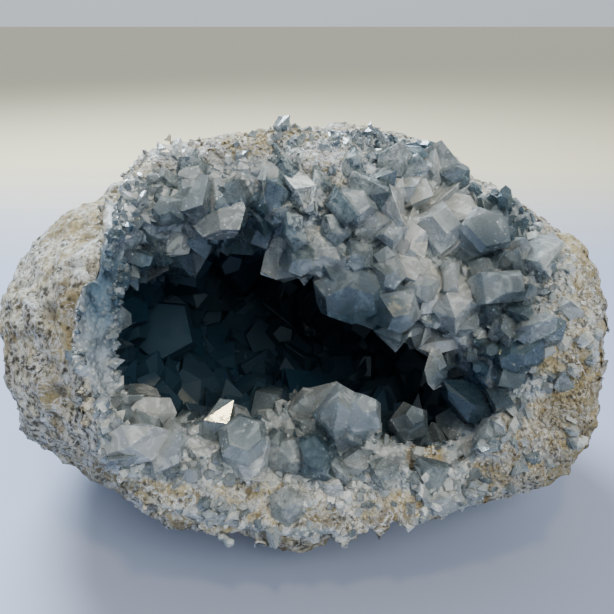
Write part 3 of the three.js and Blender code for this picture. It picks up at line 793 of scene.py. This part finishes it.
def make_large_crystals():
    """The crystals of the crust's own solid, cut free from their layer, with eased edges."""
    mesh = crust_mesh.copy()
    work = bmesh.new()
    work.from_mesh(mesh)
    bmesh.ops.remove_doubles(work, verts=work.verts, dist=WELD_DISTANCE)
    lining, reach = lining_faces(work)
    bmesh.ops.delete(work, geom=list(lining), context="FACES")
    bmesh.ops.delete(work, geom=loose_low_parts(work, reach), context="FACES")
    bmesh.ops.dissolve_limit(work, angle_limit=FLAT_BEND, verts=work.verts[:],
                             edges=work.edges[:])
    sharp = [e for e in work.edges
             if len(e.link_faces) == 2 and e.calc_face_angle(0) > SHARP_BEND]
    bmesh.ops.bevel(work, geom=sharp, offset=WORN_WIDTH, segments=1, affect="EDGES",
                    clamp_overlap=True, material=1)
    rim = [e for e in work.edges if e.is_boundary]
    grown = bmesh.ops.extrude_edge_only(work, edges=rim)["geom"]
    for v in grown:
        if isinstance(v, bmesh.types.BMVert):
            place = rind_tree.find_nearest(v.co)[0]
            v.co += (place - v.co).normalized() * ROOT_LENGTH_MM * MM
    bmesh.ops.triangulate(work, faces=work.faces[:])
    bmesh.ops.recalc_face_normals(work, faces=work.faces[:])
    work.to_mesh(mesh)
    work.free()
    piece = new_object("crystals_large", mesh)
    points = points_of(mesh)
    deep, _, _ = zones(points)
    set_attribute(mesh, "deep", np.maximum(deep, patches(points, SHADED_FACES)))
    set_attribute(mesh, "tone", tones_and_painted_light(points))
    mark_edges(mesh)
    set_attribute(mesh, "tip", smoothstep(3 * MM, 9 * MM, distances(rind_tree, points)))
    set_attribute(mesh, "frost", patches(points, FROST_SPOTS) * (1 - deep))
    shade_flat(mesh)
    return piece


# A crystal's root, as shares of the crystal's own width and size: its width and its depth.
ROOT_WIDTH = 0.75
ROOT_DEPTH = 0.45


def crystal_points(sides, count, size, height, heads):
    """Corners of many crystals along +Z, each an uneven prism whose head closes to a point, a
    ridge or a small face. Returns count x 3 rings x sides x 3: root, shoulder and head."""
    # Corners at uneven angles and distances from the middle, of a body one unit wide.
    turn = (np.arange(sides) + 0.5) / sides * 2 * np.pi
    angle = turn + RNG.uniform(-0.5, 0.5, (count, sides)) * 0.9 / sides
    radius = RNG.uniform(0.86, 1.1, (count, sides)) * 0.5
    flat_x, flat_y = np.cos(angle) * radius, np.sin(angle) * radius
    # Most bodies are wider than they are thick.
    wide = size * RNG.uniform(0.9, 1.35, count)
    thick = size * RNG.uniform(0.6, 1.0, count)
    x, y = flat_x * wide[:, None], flat_y * thick[:, None]
    # The head leans and stands off the middle.
    lean = RNG.uniform(-0.5, 0.5, (count, 2))
    crown = size * RNG.uniform(0.3, 0.6, count)
    top = RNG.choice(len(heads), count)
    scale_x = np.array([h[0] for h in heads])[top] * RNG.uniform(0.8, 1.1, count)
    scale_y = np.array([h[1] for h in heads])[top] * RNG.uniform(0.8, 1.1, count)
    crown *= np.array([h[2] for h in heads])[top]
    shift = RNG.uniform(-0.12, 0.12, (count, 2)) * size[:, None]
    corners = np.empty((count, 3, sides, 3))
    root = np.repeat(-ROOT_DEPTH * size[:, None], sides, axis=1)
    corners[:, 0] = np.stack([x * ROOT_WIDTH, y * ROOT_WIDTH, root], axis=2)
    slope = lean[:, 0, None] * x * 0.5 + lean[:, 1, None] * y * 0.5
    corners[:, 1] = np.stack([x, y, (height - crown)[:, None] + slope], axis=2)
    head_x = x * scale_x[:, None] + shift[:, 0, None]
    head_y = y * scale_y[:, None] + shift[:, 1, None]
    tilt = lean[:, 0, None] * head_x + lean[:, 1, None] * head_y
    corners[:, 2] = np.stack([head_x, head_y, height[:, None] + tilt], axis=2)
    return corners


def crystal_faces(sides):
    """Triangles of one crystal, whose corners are three rings."""
    faces = []
    for ring in (0, 1):
        for i in range(sides):
            j = (i + 1) % sides
            low, high = ring * sides, (ring + 1) * sides
            faces += [(low + i, low + j, high + j), (low + i, high + j, high + i)]
    for i in range(1, sides - 1):
        faces += [(0, i + 1, i), (2 * sides, 2 * sides + i, 2 * sides + i + 1)]
    return np.array(faces)


# An axis counts as upright where its Z is over this.
UPRIGHT = 0.9


def frames_along(axes):
    """Rotation matrices that turn +Z to each axis, with a chance twist."""
    helper = np.where(np.abs(axes[:, 2:3]) > UPRIGHT, [[1.0, 0, 0]], [[0, 0, 1.0]])
    side = np.cross(helper, axes)
    side /= np.linalg.norm(side, axis=1)[:, None]
    other = np.cross(axes, side)
    twist = RNG.uniform(0, 2 * np.pi, len(axes))[:, None]
    first = side * np.cos(twist) + other * np.sin(twist)
    second = np.cross(axes, first)
    return np.stack([first, second, axes], axis=2)


def mesh_from_arrays(name, points, triangles):
    mesh = bpy.data.meshes.new(name)
    mesh.vertices.add(len(points))
    mesh.vertices.foreach_set("co", points.astype(np.float32).ravel())
    mesh.loops.add(triangles.size)
    mesh.loops.foreach_set("vertex_index", triangles.astype(np.int32).ravel())
    mesh.polygons.add(len(triangles))
    mesh.polygons.foreach_set("loop_start", np.arange(0, triangles.size, 3, dtype=np.int32))
    mesh.update(calc_edges=True)
    mesh.validate()
    shade_flat(mesh)
    return mesh


def scatter(count, keep):
    """Chance places on the front of the bed: where, which way out, and the bed's traits there."""
    points, traits = bed["points"], bed["traits"]
    triangles = triangles_of(bed["mesh"])
    corner = points[triangles]
    area = np.linalg.norm(np.cross(corner[:, 1] - corner[:, 0], corner[:, 2] - corner[:, 0]),
                          axis=1)
    weight = area * (bed["front"][triangles].min(axis=1) > 0.5)
    weight *= keep({name: values[triangles].mean(axis=1) for name, values in traits.items()})
    chosen = RNG.choice(len(triangles), count, p=weight / weight.sum())
    mixed = RNG.dirichlet((1, 1, 1), count)

    def blend(values):
        return np.einsum("ij,ij...->i...", mixed, values[triangles[chosen]])

    normals = blend(bed["normals"])
    normals /= np.linalg.norm(normals, axis=1)[:, None]
    return blend(points), normals, {name: blend(values) for name, values in traits.items()}


# A scattered crystal is left out where the point at this share of its height lies this deep
# inside a large one.
PROBED_SHARE = 0.7
SWALLOWED_DEPTH = 0.4 * MM


def is_swallowed(place, way, height):
    """Whether a crystal here would stand inside one of the large crystals."""
    probe = place + way * height
    near, facing, _, _ = crust_tree.find_nearest(probe)
    return (Vector(probe) - near).dot(facing) < -SWALLOWED_DEPTH


# Shapes of a crystal's head: the head face's width along X and Y and the height of the slopes
# around it, as shares of what the crystal has by chance.
POINT, RIDGE, LONG_RIDGE, FLAT, SMALL_FLAT = (
    (0.05, 0.05, 1.2), (0.75, 0.04, 1.0), (0.04, 0.8, 1.0), (0.72, 0.7, 0.6), (0.4, 0.5, 0.9))
HEADS = [POINT, POINT, RIDGE, RIDGE, RIDGE, LONG_RIDGE, FLAT, SMALL_FLAT]
GRAIN_HEADS = [SMALL_FLAT, FLAT, POINT]
SIDES = (4, 5, 6)
# Edges of scattered crystals that are sharper than this are worn.
WORN_BEND = math.radians(25)
# How much the tone differs by chance from crystal to crystal.
TONE_SPREAD = 0.35


def make_crystals(name, count, sizes, growth, tilt, heights, keep, heads, side_shares, edge=0.0):
    """One mesh of many crystals scattered over the bed. Sizes are their least and greatest size
    in mm, and growth says how the bed's traits change it. Tilt is how far they lean, and heights
    are their least and greatest height, as shares of the size. Keep says how likely the traits
    make a crystal, side_shares how many have 4, 5 and 6 sides, and edge by how many mm their
    edges are worn."""
    places, out, traits = scatter(count, keep)
    size = RNG.uniform(*sizes, count) * growth(traits) * MM
    axes = out + RNG.normal(0, tilt, (count, 3))
    axes /= np.linalg.norm(axes, axis=1)[:, None]
    height = size * RNG.uniform(*heights, count)
    free = np.array([not is_swallowed(p, a, h)
                     for p, a, h in zip(places, axes, height * PROBED_SHARE)])
    places, axes, size, height = places[free], axes[free], size[free], height[free]
    deep, rocky = traits["deep"][free], traits["rocky"][free]
    number_of_sides = RNG.choice(SIDES, len(size), p=side_shares)
    points, triangles = [], []
    values = {"tone": [], "tip": [], "deep": [], "rocky": []}
    start = 0
    for sides in SIDES:
        of = number_of_sides == sides
        amount = int(of.sum())
        if not amount:
            continue
        local = crystal_points(sides, amount, size[of], height[of], heads)
        tip = local[..., 2] / height[of][:, None, None]
        turned = np.einsum("cij,crsj->crsi", frames_along(axes[of]), local)
        turned += places[of][:, None, None, :]
        corner_count = 3 * sides
        points.append(turned.reshape(-1, 3))
        offsets = start + np.arange(amount)[:, None, None] * corner_count
        triangles.append((crystal_faces(sides)[None] + offsets).reshape(-1, 3))
        start += amount * corner_count
        chance = RNG.uniform(-TONE_SPREAD, TONE_SPREAD, amount)
        tone = np.clip(tones_and_painted_light(places[of]) + chance, 0, 1)
        values["tone"].append(np.repeat(tone, corner_count))
        values["tip"].append(tip.reshape(-1))
        values["deep"].append(np.repeat(deep[of], corner_count))
        values["rocky"].append(np.repeat(rocky[of], corner_count))
    mesh = mesh_from_arrays(name, np.concatenate(points), np.concatenate(triangles))
    for key, parts in values.items():
        set_attribute(mesh, key, np.concatenate(parts))
    frost = patches(points_of(mesh), FROST_SPOTS) * (1 - np.concatenate(values["deep"]))
    set_attribute(mesh, "frost", frost)
    piece = new_object(name, mesh)
    if edge:
        mark_edges(modified(piece, ("BEVEL", {
            "width": edge * MM, "segments": 1, "limit_method": "ANGLE",
            "angle_limit": WORN_BEND, "material": 1})))
    return piece


clear_blue = crystal_material(
    "celestite_clear", clear=0.94, pale=rgb(240, 244, 240), dark=rgb(112, 144, 160),
    cloudy=0.22, absorb_colour=rgb(146, 188, 196), absorb=40)
milky_blue = crystal_material(
    "celestite_milky", clear=0.72, pale=rgb(232, 237, 232), dark=rgb(74, 100, 118),
    cloudy=0.35, absorb_colour=rgb(164, 200, 206), absorb=30)
large_blue = crystal_material(
    "celestite_large", clear=0.95, pale=rgb(238, 243, 240), dark=rgb(96, 136, 156),
    cloudy=0.2, absorb_colour=rgb(122, 174, 196), absorb=55)

large = make_large_crystals()
finish_piece(large, large_blue)

middle = make_crystals(
    "crystals_middle", count=740, sizes=(6.0, 12.5),
    growth=lambda at: (1 + 0.4 * at["deep"]) * (1 - 0.3 * at["rocky"]) * (1 - 0.6 * at["rim"]),
    tilt=0.38, heights=(0.35, 0.75),
    keep=lambda at: ((1 - at["rocky"]) ** 2 + 0.02) * (1 - 0.4 * at["deep"])
    * (1 - at["sugar"]) * (1 - 0.85 * at["rim"]) * (at["rim"] < 0.9),
    heads=HEADS, side_shares=(0.3, 0.4, 0.3), edge=0.16)
finish_piece(middle, clear_blue)

small = make_crystals(
    "crystals_small", count=4300, sizes=(1.6, 4.2),
    growth=lambda at: (1 + 0.4 * at["deep"]) * (1 - 0.5 * at["sugar"]) * (1 - 0.3 * at["rim"]),
    tilt=0.45, heights=(0.4, 0.75),
    keep=lambda at: ((1 - at["rocky"]) ** 1.5 + 0.01) * (1 - 0.5 * at["deep"])
    * (0.2 + 2.8 * at["sugar"]) * (at["rim"] < 0.85),
    heads=HEADS, side_shares=(0.35, 0.35, 0.3))
finish_piece(small, milky_blue)

grains = make_crystals(
    "bed_grains", count=7500, sizes=(0.5, 1.4), growth=lambda at: 1, tilt=0.7,
    heights=(0.2, 0.6),
    keep=lambda at: (0.15 + at["rocky"] + 0.3 * at["sugar"]) * (1 - at["deep"])
    * (1 - 0.7 * at["rim"]) * (at["rim"] < 0.92),
    heads=GRAIN_HEADS, side_shares=(0.6, 0.4, 0.0))
set_attribute(grains.data, "ochre", patches(points_of(grains.data), OCHRE_SPOTS))
# The grains get the same painted shade as the bed's crumbly rock.
set_attribute(grains.data, "hollow", painted_rock_shade(points_of(grains.data)))
finish_piece(grains, bpy.data.materials["druse_bed"])


# ---------------------------------------------------------------- stage, light and camera

# The floor is darker and bluer near the geode than the pale table, a painted shadow, and as
# warm as the wall far behind it. It changes between these distances behind the geode, in metres.
FLOOR_HALF = 20.0
FLOOR_NEAR_PAINTED_SHADOW = rgb(140, 152, 179)
FLOOR_FAR = rgb(204, 196, 164)
FLOOR_CHANGE = (0.12, 0.5)
# The way the world's light comes from, its colours away from there and towards it, and where
# between them the light changes.
WORLD_WAY = (-0.15, 0.45, 0.85)
WORLD_FRONT = (0.4, 0.42, 0.43, 1)
WORLD_BACK = (0.86, 0.93, 1.02, 1)
WORLD_CHANGE = (-0.5, 0.9)
WORLD_STRENGTH = 0.95


def area_light(name, place, target, size, power, colour):
    light = bpy.data.lights.new(name, "AREA")
    light.shape = "DISK"
    light.size = size
    light.energy = power
    light.color = colour
    made = new_object(name, light)
    made.location = place
    made.rotation_euler = (Vector(target) - Vector(place)).to_track_quat("-Z", "Y").to_euler()
    return made


def make_stage():
    """One wide floor, whose far part stands in for the wall."""
    half = FLOOR_HALF
    mesh = bpy.data.meshes.new("floor")
    mesh.from_pydata([(-half, -half, 0), (half, -half, 0), (half, half, 0), (-half, half, 0)],
                     [], [(0, 1, 2, 3)])
    floor = new_object("floor", mesh)
    nodes = Nodes("floor_pale")
    along = nodes.add("ShaderNodeSeparateXYZ", {0: nodes.place}).outputs["Y"]
    colour = nodes.mix(nodes.between(along, *FLOOR_CHANGE), FLOOR_NEAR_PAINTED_SHADOW, FLOOR_FAR)
    shader = nodes.add("ShaderNodeBsdfPrincipled", {"Base Color": colour, "Roughness": 0.6})
    mesh.materials.append(nodes.output(shader.outputs[0]))


def make_lights():
    """A cool light from behind, a soft warm one in front, and a small lamp that mirrors in one
    crystal as a golden glint."""
    area_light("key", place=(-0.28, 0.42, 0.75), target=(0, 0, 0.05), size=0.45, power=22,
               colour=(0.84, 0.92, 1.0))
    fill = area_light("fill", place=(0.32, -0.65, 0.62), target=(0, 0, 0.06), size=0.6, power=8,
                      colour=(1.0, 0.95, 0.86))
    # The fill lights the rock, but doesn't show as a mirror image in the crystals.
    fill.visible_glossy = False
    fill.visible_transmission = False
    area_light("glint", place=(0.025, -0.323, 0.9), target=(-0.02, -0.044, 0.044), size=0.08,
               power=2.5, colour=(1.0, 0.72, 0.38))


def make_world():
    """Soft light all round: bright and cool from above and behind, dimmer in front."""
    world = bpy.data.worlds.new("studio")
    bpy.context.scene.world = world
    world.use_nodes = True
    tree = world.node_tree
    way = tree.nodes.new("ShaderNodeTexCoord")
    lean = tree.nodes.new("ShaderNodeVectorMath")
    lean.operation = "DOT_PRODUCT"
    lean.inputs[1].default_value = WORLD_WAY
    ramp = tree.nodes.new("ShaderNodeMapRange")
    ramp.inputs["From Min"].default_value, ramp.inputs["From Max"].default_value = WORLD_CHANGE
    blend = tree.nodes.new("ShaderNodeMix")
    blend.data_type = "RGBA"
    blend.inputs[MIX_FIRST].default_value = WORLD_FRONT
    blend.inputs[MIX_SECOND].default_value = WORLD_BACK
    background = tree.nodes["Background"]
    background.inputs["Strength"].default_value = WORLD_STRENGTH
    tree.links.new(way.outputs["Generated"], lean.inputs[0])
    tree.links.new(lean.outputs["Value"], ramp.inputs["Value"])
    tree.links.new(ramp.outputs["Result"], blend.inputs[MIX_SHARE])
    tree.links.new(blend.outputs[MIX_RESULT], background.inputs["Color"])


def make_camera():
    camera = bpy.data.cameras.new("camera")
    camera.sensor_width = SENSOR_WIDTH
    camera.lens = FOCAL_PIXELS / FRAME_PIXELS * SENSOR_WIDTH
    camera.clip_start = 0.01
    made = new_object("camera", camera)
    made.location = CAMERA_PLACE
    made.rotation_euler = (math.pi / 2 - CAMERA_PITCH, 0, 0)
    bpy.context.scene.camera = made


make_stage()
make_lights()
make_world()
make_camera()
